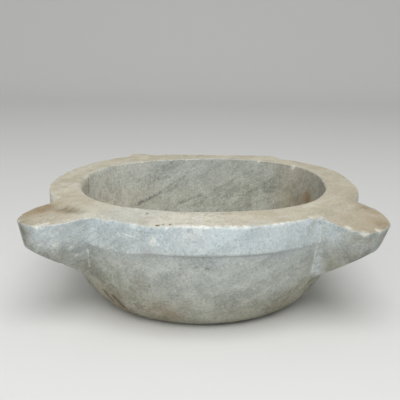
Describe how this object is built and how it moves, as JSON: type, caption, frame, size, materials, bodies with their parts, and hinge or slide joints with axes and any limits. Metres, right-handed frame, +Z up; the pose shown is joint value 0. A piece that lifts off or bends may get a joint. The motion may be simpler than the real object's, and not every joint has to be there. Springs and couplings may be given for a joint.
{
  "type": "holy water stoup",
  "caption": "Round carved marble basin with a flat rim, corner lugs and a flat back, for holding holy water; it stands on a flat foot that has a leaded dowel socket.",
  "frame": {"origin": "centre of the flat foot, on the axis of the bowl and of the dowel socket", "axes": "+Z up, out of the well's mouth; -Y to the front, which the picture looks at; +X to the right; +Y to the flat back"},
  "size_m": [0.5214, 0.501, 0.178],
  "materials": {
    "marble": "matte",
    "lead": "matte"
  },
  "bodies": {
    "root": {"basin": "marble", "lead_sleeve": "lead"}
  },
  "joints": []
}
